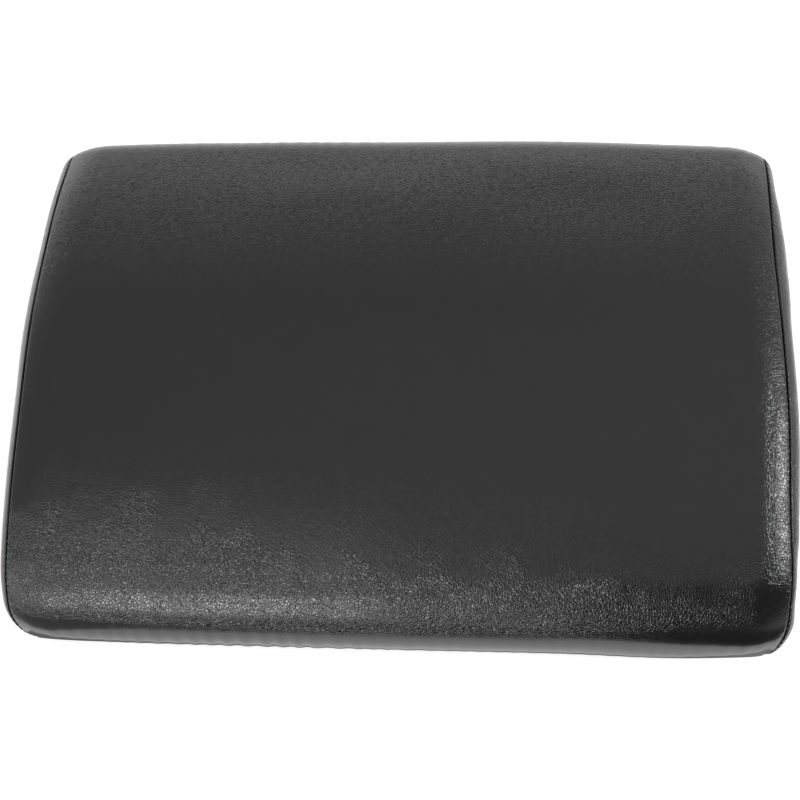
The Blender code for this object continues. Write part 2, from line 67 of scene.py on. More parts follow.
# Places read from the frame
NEAR_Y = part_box("base_panel")[0].y - SEAM_NOTCH
FAR_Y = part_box("base_strip")[1].y + SEAM_NOTCH
BASE_LENGTH = FAR_Y - NEAR_Y
BASE_HALF_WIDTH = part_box("base_panel")[1].x + SEAM_NOTCH
BASE_DRAW_IN = SEAM_WIDTH / 2 - BASE_HALF_WIDTH
TAPE_LOW, TAPE_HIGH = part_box("zip_tape_far")
ZIP_Y = (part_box("zip_tape_near")[0].y + TAPE_HIGH.y) / 2
ZIP_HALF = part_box("zip_top_stop_near")[1].x
TAPE_HALF_LENGTH = TAPE_HIGH.x
VALLEY_HEIGHT = TAPE_LOW.z - LAYER

# Slot and valley round the zip
SLOT_HALF_WIDTH = 0.006
SLOT_OVERHANG = 0.003
SLOT_END = 0.004
STITCH_SETBACK = 0.0025
VALLEY_MARGIN = 0.002
VALLEY_SLOPE = 0.024
RELIEF_MARGIN = 0.001
RELIEF_HEIGHT = 0.0083
VALLEY_HALF_FLAT = TAPE_HIGH.y - ZIP_Y + VALLEY_MARGIN
VALLEY_END_FLAT = TAPE_HALF_LENGTH + VALLEY_MARGIN
VALLEY_FOOT = BASE_HALF_WIDTH - LAYER - RELIEF_MARGIN

# Closed seams: the panels' edges roll in, meet and run on inside as an allowance
LIP = 0.0011  # from the seam to where a panel starts to roll in
LIP_STEPS = 5
ALLOWANCE = 0.0034  # depth of the turned-in edge
SEAM_GAP = 0.00008  # from the seam's middle to a panel's turned-in edge, where it is closed
SEAM_OPENING = 0.00014  # how much further the edges stand apart above the thread
STITCH_OPENING = 0.00024  # and how much more where a stitch pulls them
STITCH_PITCH = 0.0033
STITCH_SHARE = 0.78  # of the pitch, that a stitch takes
STITCH_RADIUS = 0.00026
STITCH_DEPTH = 0.0016
STITCH_PULL = 0.00022
PULL_REACH = 0.0020
ROW_STEP = STITCH_PITCH / 4
SEAM_UPRIGHT = 2.6  # how far the groove leans from between the panels to square to the top

# Hand-made unevenness of the padding
SWELL_SIZES = ((0.085, 0.00045), (0.030, 0.00016))  # size of a wave, and its height
GATHER_PITCH = 0.0086
GATHER_DEPTH = 0.00034
GATHER_REACH = 0.0085
HEM_WIDTH = 0.021  # of the smooth hem above the base seam, measured along the cover
HEM_FADE = 0.010
GATHER_MIDDLE_X = -0.060  # of the stretch of the near end where they are plainest
GATHER_STRETCH = 0.050
CREASE_DEPTH = 0.00006
UNDERSIDE_DENT = 0.00035
UNDERSIDE_WAVE = 0.034
# How far each corner's foot stands out, and the reach of that
TIP_PULLS = {
    (-1, -1): (-0.0013, 0.010),
    (-1, 1): (0.0006, 0.004),
    (1, -1): (-0.0010, 0.006),
    (1, 1): (0.0013, 0.004),
}
TIP_SPREAD = 0.55  # its move across, for a move of 1 along
BOW_START = 0.10  # X from which the long seams' swells fade in
BOW_FADE = 0.07
BOW_RISE = 0.03  # height over which they do
# How far each long seam stands out: Y, reach and size of each swell
SEAM_BOWS = {
    -1: ((-0.035, 0.045, -0.0010), (0.050, 0.030, -0.0006)),
    1: (
        (0.055, 0.032, -0.0009), (-0.040, 0.040, 0.0011),
        (-0.106, 0.020, 0.0012), (0.118, 0.015, 0.0004),
    ),
}
# How much more each side panel swells: Y, reach and size of each swell
SIDE_SWELLS = {
    -1: ((0.010, 0.115, 0.0029), (0.018, 0.030, 0.0009), (-0.121, 0.020, -0.0008)),
    1: (
        (0.020, 0.105, 0.0036), (0.046, 0.022, 0.0012), (0.106, 0.022, -0.0018),
        (-0.093, 0.0145, -0.0017), (-0.133, 0.012, 0.0014),
    ),
}
NEAR_HEM_PUSH = 0.0015  # the near end's foot, pushed out by the foam
NEAR_HEM_SWELLS = ((0.128, 0.036, 0.0017), (-0.125, 0.060, 0.0005))  # X, reach and size
NEAR_HEM_HEIGHT = 0.014
NEAR_HEM_REACH = 0.045
FAR_START = 0.05  # from the thin end, where its swells fade in
FAR_FADE = 0.03
FAR_RISE = 0.012
# How far the thin end stands out: X, reach and size of each swell
FAR_SWELLS = ((-0.028, 0.075, -0.0007), (0.080, 0.060, 0.0007), (0.172, 0.030, 0.0003))

NOISE_CELLS = 64
TINY = 1e-12  # a length that counts as none


# Numbers in space


def points_of(x, y, z):
    """Points from their coordinates, each an array or one number for all of them."""
    return np.stack(np.broadcast_arrays(x, y, z), axis=-1)


def unit(vectors):
    return vectors / np.maximum(np.linalg.norm(vectors, axis=-1, keepdims=True), TINY)


def smooth(share):
    share = np.clip(share, 0.0, 1.0)
    return share * share * (3.0 - 2.0 * share)


def space_noise(points, size, seed):
    """Smooth noise between about -1 and 1, with features of the given size."""
    table = np.random.default_rng(seed).uniform(-1.0, 1.0, (NOISE_CELLS,) * 3)
    place = points / size
    cell = np.floor(place).astype(int)
    part = smooth(place - cell)
    total = np.zeros(place.shape[:-1])
    for corner in np.ndindex(2, 2, 2):
        index = (cell + corner) % NOISE_CELLS
        weight = np.where(corner, part, 1.0 - part).prod(axis=-1)
        total += weight * table[index[..., 0], index[..., 1], index[..., 2]]
    return total


# Outline of the padded shape, seen from the side


def crest_curve(reach, wall_height, radius):
    """Radius of the curve from the crest to an end's rounding, and the angle it turns."""
    drop = SEAM_HEIGHT - wall_height
    curve = (reach**2 + drop**2 - radius**2) / (2 * (drop - radius))
    return curve, math.atan2(reach, curve - drop)


def outline_arcs():
    """The outline's arcs from the near end to the far end: centre, radius, start and end angle."""
    near_curve, near_turn = crest_curve(CREST_SETBACK - NEAR_FILLET, NEAR_WALL_HEIGHT, NEAR_FILLET)
    far_reach = BASE_LENGTH - FAR_FILLET - CREST_SETBACK
    far_curve, far_turn = crest_curve(far_reach, FAR_WALL_HEIGHT, FAR_FILLET)
    level = math.pi / 2
    near_angle = level + near_turn
    far_angle = level - far_turn
    crest_y = NEAR_Y + CREST_SETBACK
    return [
        (NEAR_Y + NEAR_FILLET, NEAR_WALL_HEIGHT, NEAR_FILLET, math.pi, near_angle),
        (crest_y, SEAM_HEIGHT - near_curve, near_curve, near_angle, level),
        (crest_y, SEAM_HEIGHT - far_curve, far_curve, level, far_angle),
        (FAR_Y - FAR_FILLET, FAR_WALL_HEIGHT, FAR_FILLET, far_angle, 0.0),
    ]


ARCS = outline_arcs()
OUTLINE_LENGTH = (
    NEAR_WALL_HEIGHT
    + sum(radius * (start - end) for _, _, radius, start, end in ARCS)
    + FAR_WALL_HEIGHT
)


def outline_at(run):
    """Y, Z and the outward normal's angle at a distance along the outline from the floor."""
    run = np.asarray(run, float)
    y = np.full(run.shape, NEAR_Y)
    z = np.clip(run, 0.0, NEAR_WALL_HEIGHT)
    angle = np.full(run.shape, math.pi)
    passed = NEAR_WALL_HEIGHT
    for centre_y, centre_z, radius, start, end in ARCS:
        here = run > passed
        turned = np.clip(start - (run - passed) / radius, end, start)
        y = np.where(here, centre_y + radius * np.cos(turned), y)
        z = np.where(here, centre_z + radius * np.sin(turned), z)
        angle = np.where(here, turned, angle)
        passed += radius * (start - end)
    z = np.where(run > passed, FAR_WALL_HEIGHT - (run - passed), z)
    return y, z, angle


def rolled(distance, width):
    """0 at a seam, rising to 1 at the given width like a padded edge."""
    left = np.clip(1.0 - distance / width, 0.0, 1.0)
    return 1.0 - left * left


def base_distance(run):
    return np.clip(np.minimum(run, OUTLINE_LENGTH - run) - LAYER, 0.0, None)


def half_width(run):
    pull = np.clip(1.0 - base_distance(run) / BASE_FADE, 0.0, None)
    return SEAM_WIDTH / 2 - BASE_DRAW_IN * pull * pull


def crown(run, x):
    half = half_width(run)
    rise = ROLL_HEIGHT * rolled(half - np.abs(x), ROLL_WIDTH) + CROWN_HEIGHT * (1.0 - (x / half) ** 2)
    return rise * rolled(base_distance(run), BASE_FADE)


def top_surface(run, x, lift=0.0):
    """A point of the cover's top, lifted off the padding's shape along its normal."""
    y, z, angle = outline_at(run)
    rise = crown(run, x) + lift
    return points_of(x, y + np.cos(angle) * rise, z + np.sin(angle) * rise)


def side_surface(run, up, lift=0.0):
    """A point of the right side panel, at a share of its height."""
    y, z, _ = outline_at(run)
    base_y = NEAR_Y + BASE_LENGTH * run / OUTLINE_LENGTH
    swell = SIDE_BULGE * rolled(base_distance(run), BASE_FADE)
    bulge = swell * (1.0 - (2.0 * up - 1.0) ** 4)
    x = half_width(run) * up + BASE_HALF_WIDTH * (1.0 - up) + bulge + lift
    return points_of(x, base_y + (y - base_y) * up, z * up)


def valley(x, distance):
    """Height of the underside's outer face, at a distance from the zip's middle line."""
    across = smooth((VALLEY_HALF_FLAT + VALLEY_SLOPE - distance) / VALLEY_SLOPE)
    along = smooth((VALLEY_FOOT - np.abs(x)) / (VALLEY_FOOT - VALLEY_END_FLAT))
    return VALLEY_HEIGHT * across * along


# Seams


def lip_columns(half_angle):
    """Distances off the seam and depths into it, from a panel's inside edge to where it is flat."""
    turn = np.linspace(0.0, 1.0, LIP_STEPS + 1)[::-1]
    weight = (1 - turn) ** 2 + 2 * math.sin(half_angle) * turn * (1 - turn) + turn**2
    depths = np.linspace(ALLOWANCE, LIP, 3)[:-1]
    off = np.concatenate([np.zeros(len(depths)), LIP * ((1 - turn) ** 2 / weight)])
    deep = np.concatenate([depths, LIP * (turn**2 / weight)])
    return off, deep


SIDE_LIP = lip_columns(half_angle=math.radians(40))
BASE_LIP = lip_columns(half_angle=math.radians(22.5))
LIP_COUNT = len(SIDE_LIP[0])


def across_panel(half, shares, lip):
    """X of each column across a panel with a lip at both sides, and its depth into the seam."""
    off, deep = lip
    share = np.concatenate([-np.ones(len(off)), shares, np.ones(len(off))])
    away = np.concatenate([off, np.full(len(shares), LIP), off[::-1]])
    sunk = np.concatenate([deep, np.zeros(len(shares)), deep[::-1]])
    return share * (half - LIP) + np.sign(share) * (LIP - away), sunk


def outline_rows():
    """Places along the outline, and their depth into the base seam."""
    off, deep = BASE_LIP
    count = round((OUTLINE_LENGTH - 2 * LIP) / ROW_STEP)
    middle = np.linspace(LIP, OUTLINE_LENGTH - LIP, count + 1)[1:-1]
    run = np.concatenate([off, middle, OUTLINE_LENGTH - off[::-1]])
    sunk = np.concatenate([deep, np.zeros(len(middle)), deep[::-1]])
    return run, sunk


def seam_frames(run):
    """For the right seam: the direction into the seam, and the one across it to the top panel."""
    step = 0.0008
    run = np.clip(run, 4 * step, OUTLINE_LENGTH - 4 * step)
    half = half_width(run)
    seam = top_surface(run, half)
    ahead = top_surface(run + step, half_width(run + step))
    behind = top_surface(run - step, half_width(run - step))
    along = unit(ahead - behind)
    over = top_surface(run, half - step) - seam
    height = np.linalg.norm(seam - side_surface(run, 0.0), axis=-1)
    down = side_surface(run, 1.0 - step / np.maximum(height, 2 * step)) - seam
    top_normal = unit(np.cross(along, over))
    side_normal = unit(np.cross(down, along))
    angle = outline_at(run)[2]
    level = points_of(0.0, np.cos(angle), np.sin(angle))
    inward = -unit(top_normal + side_normal + SEAM_UPRIGHT * level)
    kernel = np.hanning(9)[1:-1]
    kernel /= kernel.sum()
    padded = np.pad(inward, ((3, 3), (0, 0)), mode="edge")
    inward = unit(np.stack([np.convolve(padded[:, k], kernel, "valid") for k in range(3)], axis=-1))
    return inward, unit(np.cross(along, inward))


def mirrored(vectors, side):
    return vectors * np.array([side, 1.0, 1.0])


def base_turn_in(facing, sunk, part):
    """The move of an edge into the base seam, at the foot of a wall that faces that X and Y.

    part is 1 for the wall's own panel and -1 for the underside.
    """
    inward = unit(np.array([-facing[0], -facing[1], 1.0]))
    aside = unit(np.array([facing[0], facing[1], 1.0]))
    return inward * sunk + aside * (part * SEAM_GAP * np.clip(sunk / LIP, 0.0, 1.0))


def stitch_beat(run):
    """1 at the middle of each stitch, down to 0 between two."""
    return 0.5 + 0.5 * np.cos(2 * math.pi * run / STITCH_PITCH)


def stitch_pull(run, distance):
    """How deep the stitches pull a panel's edge in, near a seam."""
    return STITCH_PULL * stitch_beat(run) * np.exp(-((distance / PULL_REACH) ** 2))


def seam_opening(run, sunk):
    """How far a turned-in edge stands off the seam's middle, wider where a stitch pulls it."""
    fade = smooth((ALLOWANCE - sunk) / (ALLOWANCE - LIP))
    uneven = 1.0 + 0.6 * space_noise(points_of(run, 0.0, 0.0), 0.012, 61)
    opening = SEAM_GAP + uneven * (SEAM_OPENING + STITCH_OPENING * stitch_beat(run)) * fade
    return opening * np.clip(sunk / (0.5 * LIP), 0.0, 1.0)


def bell(share):
    return np.exp(-(share**2))


def swell_sum(place, swells, flat=1):
    """Bell-shaped swells of given middles, reaches and sizes, added up at each place.

    With flat above 1 each is flat in its middle.
    """
    return sum(size * bell(((place - middle) / reach) ** flat) for middle, reach, size in swells)


def gathers(along, distance, seed):
    """Small folds that the base seam gathers into a panel, plainest a little above the seam."""
    strength = 0.25 + 0.75 * bell((along - GATHER_MIDDLE_X) / GATHER_STRETCH)
    drift = 0.35 * space_noise(points_of(along, 0.0, 0.0), 0.020, seed)
    wave = np.cos(2 * math.pi * (along / GATHER_PITCH + drift))
    share = distance / GATHER_REACH
    return GATHER_DEPTH * strength * wave * share**2 * np.exp(2.0 * (1.0 - share))


def hand_made(points):
    """Where the sewn cover departs from its pattern, as one smooth move of everything in it."""
    moved = points.copy()
    x, y, z = points[..., 0], points[..., 1], points[..., 2]
    outer = smooth((np.abs(x) - BOW_START) / BOW_FADE) * smooth(z / BOW_RISE)
    for side in (-1, 1):
        bow = swell_sum(y, SEAM_BOWS[side])
        moved[..., 0] += np.where(side * x > 0.0, side * bow * outer, 0.0)
    near = smooth((NEAR_Y + NEAR_HEM_REACH - y) / NEAR_HEM_REACH)
    push = NEAR_HEM_PUSH + swell_sum(x, NEAR_HEM_SWELLS)
    moved[..., 1] -= push * near * bell(z / NEAR_HEM_HEIGHT)
    far = smooth((y - FAR_Y + FAR_START) / FAR_FADE) * smooth(z / FAR_RISE)
    far *= swell_sum(x, FAR_SWELLS)
    moved[..., 1] += far
    moved[..., 2] += far
    for (x_side, y_side), (size, reach) in TIP_PULLS.items():
        corner = np.array([x_side * BASE_HALF_WIDTH, NEAR_Y if y_side < 0 else FAR_Y, 0.0])
        out = unit(np.array([x_side * TIP_SPREAD, y_side, 0.0]))
        distance = np.linalg.norm(points - corner, axis=-1, keepdims=True)
        moved += out * size * np.exp(-distance / reach)
    return moved


# Meshes


def add_mesh(name, points, faces, material, sharp_angle=50):
    mesh = bpy.data.meshes.new(name)
    mesh.from_pydata(points.tolist(), [], faces)
    mesh.validate()
    mesh.shade_smooth()
    mesh.set_sharp_from_angle(angle=math.radians(sharp_angle))
    mesh.materials.append(material)
    item = bpy.data.objects.new(name, mesh)
    bpy.context.scene.collection.objects.link(item)
    return item


def grid_quads(rows, columns, start=0):
    index = start + np.arange(rows * columns).reshape(rows, columns)
    corners = [index[:-1, :-1], index[:-1, 1:], index[1:, 1:], index[1:, :-1]]
    return np.stack(corners, axis=-1).reshape(-1, 4)


def facing_out(points, faces):
    """The faces of a closed shape, turned over if they were inside out."""
    fans = [(face[0], *pair) for face in faces for pair in zip(face[1:-1], face[2:])]
    first, second, third = (points[corner] for corner in np.array(fans).T)
    inside_out = (first * np.cross(second, third)).sum() < 0
    return [face[::-1] for face in faces] if inside_out else faces


def edge_loop(rows, columns):
    """The grid positions round the edge of a grid, in order."""
    top = [(0, column) for column in range(columns)]
    right = [(row, columns - 1) for row in range(1, rows)]
    bottom = [(rows - 1, column) for column in range(columns - 2, -1, -1)]
    left = [(row, 0) for row in range(rows - 2, 0, -1)]
    return top + right + bottom + left


def panel_shell(name, grid, outward, margins, material, thickness=COVER_THICKNESS, stride=4):
    """A closed panel: a fine outer face, a coarser inner face, and its turned-in edge between them.

    margins is how many rows and columns of the grid belong to its edges, at each side.
    """
    rows, columns = grid.shape[:2]
    normals = unit(np.cross(np.gradient(grid, axis=1), np.gradient(grid, axis=0)))
    normals *= np.sign((normals * outward).sum(axis=-1).mean())
    picks = []
    for count, (before, after) in zip((rows, columns), margins):
        last = count - after - 1
        picks.append([*range(before, last, stride), last])
    inner = (grid - normals * thickness)[np.ix_(*picks)]
    points = np.concatenate([grid.reshape(-1, 3), inner.reshape(-1, 3)])
    inner_faces = grid_quads(len(picks[0]), len(picks[1]), rows * columns)[:, ::-1]
    faces = grid_quads(rows, columns).tolist() + inner_faces.tolist()

    fine = edge_loop(rows, columns)
    fine_place = {place: index for index, place in enumerate(fine)}
    on_row, on_column = ([0, *pick[1:-1], end - 1] for pick, end in zip(picks, (rows, columns)))
    matches = []
    for row, column in edge_loop(len(on_row), len(on_column)):
        vertex = rows * columns + row * len(on_column) + column
        matches.append((vertex, fine_place[on_row[row], on_column[column]]))
    for (vertex, start), (following, end) in zip(matches, matches[1:] + matches[:1]):
        count = (end - start) % len(fine)
        stretch = [fine[(start + step) % len(fine)] for step in range(count + 1)]
        border = [row * columns + column for row, column in stretch]
        faces.append(border[::-1] + [vertex, following])
    return add_mesh(name, points, facing_out(points, faces), material)


def tube_rings(path, radii, side, up, sides):
    """Rings of points round a path; side and up are the ring's two directions at each point."""
    turns = 2 * math.pi * np.arange(sides) / sides
    ring = np.cos(turns)[None, :, None] * side[:, None, :]
    ring += np.sin(turns)[None, :, None] * up[:, None, :]
    return path[:, None, :] + ring * radii[:, None, None]


def tube_faces(rings, sides, start):
    index = start + np.arange(rings * sides).reshape(rings, sides)
    following = np.roll(index, -1, axis=1)
    walls = np.stack([index[:-1], following[:-1], following[1:], index[1:]], axis=-1)
    return walls.reshape(-1, 4).tolist() + [index[0][::-1].tolist(), index[-1].tolist()]


# Materials

# Leather. The scales are in features to a metre, and the shares are of the grain's height
GRAIN_HEIGHT = 0.00015
GRAIN_SCALE = 780.0
GRAIN_STEP = (0.02, 0.21)
PEBBLE_SCALE = 1500.0
STREAK_SCALE = 480.0
STREAK_WIDTH = 0.05
FOLD_SCALE = 75.0
FOLD_WIDTH = 0.010
FOLD_TURN = 0.65  # of the long folds away from straight across, in radians
WARP_SCALE = 330.0
WARP = 0.0012  # how far the grain is bent out of its even pattern
PATCH_SCALE = 42.0
PATCH_REACH = 0.085  # how far the worn part's border wanders
WORN_GRAIN = 1.2
WORN_FOLD = 0.45
WORN_STREAK = 0.35
PEBBLE = 0.15
EDGE_WEAR = 0.85
LEATHER_ROUGHNESS = (0.16, 0.21)
# Steps in the leather: the two places, and the values at them where they aren't 0 and 1
WORN_END = (-0.075, -0.034, 1.0, 0.0)  # along: the near end is worn in
WORN_END_SHIFT = (-0.090, -0.005, 0.0, 0.022)  # across: not as far up on the right
WORN_END_RIGHT = (0.02, 0.150, 1.0, 0.22)  # across: nor as plainly
WORN_EDGE = (0.1755, 0.1825)  # across: so is the right edge
WORN_EDGE_FAR = (-0.018, -0.026)  # along
WORN_EDGE_NEAR = (-0.114, -0.104)  # along
WORN_LEVEL = (0.026, 0.036, 0.10, 1.0)  # up
PLAIN_GRAIN = (-0.045, 0.090, 0.17, 0.50)  # along: the grain where nothing is worn in
CALM_FRONT = (-0.100, -0.118)  # along: the near hem is smooth
CALM_LEVEL = (0.021, 0.030, 0.95, 0.0)  # up
# The two tones that each material blends
LEATHER_TONES = ((0.0070, 0.0070, 0.0073), (0.0095, 0.0095, 0.0099))
THREAD_TONES = ((0.002, 0.002, 0.002), (0.006, 0.006, 0.006))
# the foam's darker tone is painted shade in its pores
FOAM_TONES = ((0.22, 0.22, 0.20), (0.36, 0.36, 0.34))
TAPE_TONES = ((0.010, 0.010, 0.011), (0.030, 0.030, 0.033))
NYLON_TONES = ((0.016, 0.016, 0.018), (0.028, 0.028, 0.030))
LACQUER_TONES = ((0.022, 0.022, 0.024), (0.065, 0.063, 0.060))


class Nodes:
    """A material's or world's nodes, with values and links set by input name."""

    def __init__(self, owner):
        owner.use_nodes = True
        self.owner = owner
        self.tree = owner.node_tree

    def fill(self, socket, value):
        if isinstance(value, bpy.types.NodeSocket):
            self.tree.links.new(value, socket)
        else:
            socket.default_value = value

    def set(self, node, inputs):
        for name, value in inputs.items():
            self.fill(node.inputs[name], value)

    def add(self, kind, inputs=None, **settings):
        node = self.tree.nodes.new(kind)
        for name, value in settings.items():
            setattr(node, name, value)
        self.set(node, inputs or {})
        return node

    def math(self, operation, *values, kind="ShaderNodeMath", **settings):
        node = self.add(kind, operation=operation, **settings)
        for socket, value in zip(node.inputs, values):
            self.fill(socket, value)
        return node.outputs[0]

    def times(self, first, second):
        return self.math("MULTIPLY", first, second)

    def vector(self, operation, *values):
        return self.math(operation, *values, kind="ShaderNodeVectorMath")

    def remap(self, value, low, high, to_low=0.0, to_high=1.0, curve="LINEAR"):
        names = {"Value": value, "From Min": low, "From Max": high, "To Min": to_low, "To Max": to_high}
        return self.add("ShaderNodeMapRange", names, interpolation_type=curve).outputs[0]

    def step(self, value, low, high, to_low=0.0, to_high=1.0):
        return self.remap(value, low, high, to_low, to_high, "SMOOTHSTEP")

    def noise(self, where, scale, detail=2.0, roughness=0.5, output="Fac"):
        inputs = {"Vector": where, "Scale": scale, "Detail": detail, "Roughness": roughness}
        return self.add("ShaderNodeTexNoise", inputs).outputs[output]

    def lines(self, noise, width):
        """0 along the lines where a noise is at its middle, and 1 away from them."""
        return self.step(self.math("ABSOLUTE", self.math("SUBTRACT", noise, 0.5)), 0.0, width)

    def split(self, vector):
        return self.add("ShaderNodeSeparateXYZ", {"Vector": vector}).outputs

    def blend(self, share, dark, light):
        node = self.add("ShaderNodeMix", data_type="RGBA")
        for socket, value in zip((0, 6, 7), (share, (*dark, 1.0), (*light, 1.0))):
            self.fill(node.inputs[socket], value)
        return node.outputs[2]

    def ray(self, kind):
        return self.add("ShaderNodeLightPath").outputs["Is %s Ray" % kind]

    def bump(self, height, distance):
        inputs = {"Height": height, "Distance": distance}
        return self.add("ShaderNodeBump", inputs).outputs[0]

    def finish(self, look):
        """Give a material's own shader its look."""
        self.set(self.tree.nodes["Principled BSDF"], look)
        return self.owner

    def mix(self, share, first, second):
        """A mix of two shaders."""
        mix = self.add("ShaderNodeMixShader")
        for socket, value in zip(mix.inputs, (share, first.outputs[0], second.outputs[0])):
            self.fill(socket, value)
        return mix.outputs[0]


def start_material(name):
    nodes = Nodes(bpy.data.materials.new(name))
    return nodes, nodes.add("ShaderNodeTexCoord").outputs["Object"]


def make_leather():
    """Black coated fabric with a fine pressed grain that is more worn in at the steep end."""
    nodes, where = start_material("black_leather")
    bend = nodes.noise(where, WARP_SCALE, output="Color")
    bent = nodes.vector("MULTIPLY_ADD", bend, (WARP,) * 3, (-WARP / 2,) * 3)
    warped = nodes.vector("ADD", where, bent)

    across, along, level = nodes.split(where)
    patches = nodes.noise(where, PATCH_SCALE, 4.0, 0.62)
    shifted = nodes.math("MULTIPLY_ADD", patches, PATCH_REACH, along)
    shifted = nodes.math("ADD", shifted, nodes.step(across, *WORN_END_SHIFT))
    near = nodes.times(nodes.step(shifted, *WORN_END), nodes.step(across, *WORN_END_RIGHT))
    edge = nodes.step(nodes.math("MULTIPLY_ADD", patches, 0.008, across), *WORN_EDGE)
    edge = nodes.times(edge, nodes.step(along, *WORN_EDGE_FAR))
    edge = nodes.times(edge, nodes.step(along, *WORN_EDGE_NEAR))
    worn = nodes.math("MULTIPLY_ADD", edge, EDGE_WEAR, near, use_clamp=True)
    worn = nodes.times(worn, nodes.step(level, *WORN_LEVEL))

    inputs = {"Vector": warped, "Scale": GRAIN_SCALE}
    cells = nodes.add("ShaderNodeTexVoronoi", inputs, feature="DISTANCE_TO_EDGE")
    grain = nodes.step(cells.outputs["Distance"], *GRAIN_STEP)
    pebble = nodes.noise(warped, PEBBLE_SCALE, 2.0, 0.6)
    squeeze = nodes.vector("MULTIPLY", warped, (1.0, 0.38, 1.0))
    streak = nodes.lines(nodes.noise(squeeze, STREAK_SCALE, 1.0), STREAK_WIDTH)
    inputs = {"Vector": where, "Rotation": (0.0, 0.0, FOLD_TURN), "Scale": (0.4, 1.0, 1.0)}
    turned = nodes.add("ShaderNodeMapping", inputs).outputs[0]
    fold = nodes.lines(nodes.noise(turned, FOLD_SCALE, 2.0, 0.6), FOLD_WIDTH)
    plain = nodes.step(along, *PLAIN_GRAIN)
    height = nodes.times(grain, nodes.math("MULTIPLY_ADD", worn, WORN_GRAIN, plain))
    height = nodes.math("MULTIPLY_ADD", nodes.times(fold, worn), WORN_FOLD, height)
    height = nodes.math("MULTIPLY_ADD", pebble, PEBBLE, height)
    height = nodes.math("MULTIPLY_ADD", nodes.times(streak, worn), WORN_STREAK, height)
    calm = nodes.times(nodes.step(along, *CALM_FRONT), nodes.step(level, *CALM_LEVEL))
    height = nodes.times(height, nodes.math("SUBTRACT", 1.0, calm))

    tone = nodes.noise(where, 90.0, 3.0)
    sheen = nodes.noise(where, 150.0, 3.0)
    look = {
        "Base Color": nodes.blend(tone, *LEATHER_TONES),
        "Roughness": nodes.remap(sheen, 0.3, 0.7, *LEATHER_ROUGHNESS),
        "Normal": nodes.bump(height, GRAIN_HEIGHT),
    }
    return nodes.finish(look)


def make_thread():
    nodes, where = start_material("black_thread")
    inputs = {"Vector": where, "Scale": 900.0, "Distortion": 1.5}
    twist = nodes.add("ShaderNodeTexWave", inputs, bands_direction="DIAGONAL").outputs["Fac"]
    look = {
        "Base Color": nodes.blend(twist, *THREAD_TONES),
        "Roughness": 0.85,
        "Specular IOR Level": 0.25,
        "Normal": nodes.bump(twist, 0.00005),
    }
    return nodes.finish(look)


def make_foam():
    nodes, where = start_material("grey_foam")
    pores = nodes.add("ShaderNodeTexVoronoi", {"Vector": where, "Scale": 1500.0})
    pore_depth_and_shade = nodes.remap(pores.outputs["Distance"], 0.1, 0.5)
    # The pores are sunk by the bump and also darkened in colour, as painted shade
    colour, normal = nodes.blend(pore_depth_and_shade, *FOAM_TONES), nodes.bump(pore_depth_and_shade, 0.0002)
    return nodes.finish({"Base Color": colour, "Roughness": 0.95, "Normal": normal})


def make_tape():
    nodes, where = start_material("zip_tape_weave")
    ribs = nodes.add("ShaderNodeTexWave", {"Vector": where, "Scale": 330.0}, bands_direction="X")
    picks = nodes.add("ShaderNodeTexWave", {"Vector": where, "Scale": 420.0}, bands_direction="Y")
    weave = nodes.times(ribs.outputs["Fac"], picks.outputs["Fac"])
    colour, normal = nodes.blend(weave, *TAPE_TONES), nodes.bump(weave, 0.00015)
    return nodes.finish({"Base Color": colour, "Roughness": 0.85, "Normal": normal})


def make_nylon():
    nodes, where = start_material("zip_coil_nylon")
    fine = nodes.noise(where, 2500.0, 2.0)
    colour, rough = nodes.blend(fine, *NYLON_TONES), nodes.remap(fine, 0.3, 0.7, 0.28, 0.42)
    return nodes.finish({"Base Color": colour, "Roughness": rough})


def make_lacquer():
    """Black lacquered metal, rubbed a little on its edges."""
    nodes, where = start_material("zip_lacquer")
    edges = nodes.add("ShaderNodeNewGeometry").outputs["Pointiness"]
    rubbed = nodes.step(edges, 0.53, 0.60)
    specks = nodes.noise(where, 1800.0, 3.0)
    rubbed = nodes.times(rubbed, nodes.remap(specks, 0.35, 0.6))
    look = {
        "Base Color": nodes.blend(rubbed, *LACQUER_TONES),
        "Roughness": nodes.remap(specks, 0.3, 0.7, 0.26, 0.40),
        "Metallic": 0.6,
        "Normal": nodes.bump(specks, 0.00002),
    }
    return nodes.finish(look)


LEATHER = make_leather()
THREAD = make_thread()
FOAM = make_foam()
TAPE = make_tape()
NYLON = make_nylon()
LACQUER = make_lacquer()


# Cover


def declare(item, node):
    """Let a piece ride on the mat, and hide the CAD node that it stands for."""
    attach(item, "mat")
    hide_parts(node)


TOP_COLUMNS = 232
SIDE_ROWS = 30
UNDERSIDE_COLUMNS = 220
UNDERSIDE_STEP = 0.0016
HEM_STEPS = 6
RUN, RUN_SUNK = outline_rows()
INWARD, ASIDE = seam_frames(RUN)


def swells(points):
    """Slow waves of the padding."""
    waves = enumerate(SWELL_SIZES)
    return sum(height * space_noise(points, size, 11 + k) for k, (size, height) in waves)


def creases(points, amount):
    """Short creases in the cover: narrow grooves along the zero lines of a stretched noise."""
    warp = np.stack([space_noise(points, 0.011, 31 + k) for k in range(3)], axis=-1)
    bent = points + 0.0035 * warp
    total = np.zeros(points.shape[:-1])
    for seed, stretch, size in ((41, (1.0, 0.45, 1.0), 0.0075), (42, (1.0, 0.7, 1.0), 0.013)):
        field = space_noise(bent * np.array(stretch), size, seed)
        total -= np.exp(-((field / 0.13) ** 2))
    patches = smooth(0.5 + 1.4 * space_noise(points, 0.035, 43))
    return CREASE_DEPTH * amount * patches * total


def plain_rows(margin):
    """Which places along the outline lie outside the seams, and away from its ends."""
    return (RUN_SUNK == 0.0) & (RUN > margin) & (RUN < OUTLINE_LENGTH - margin)


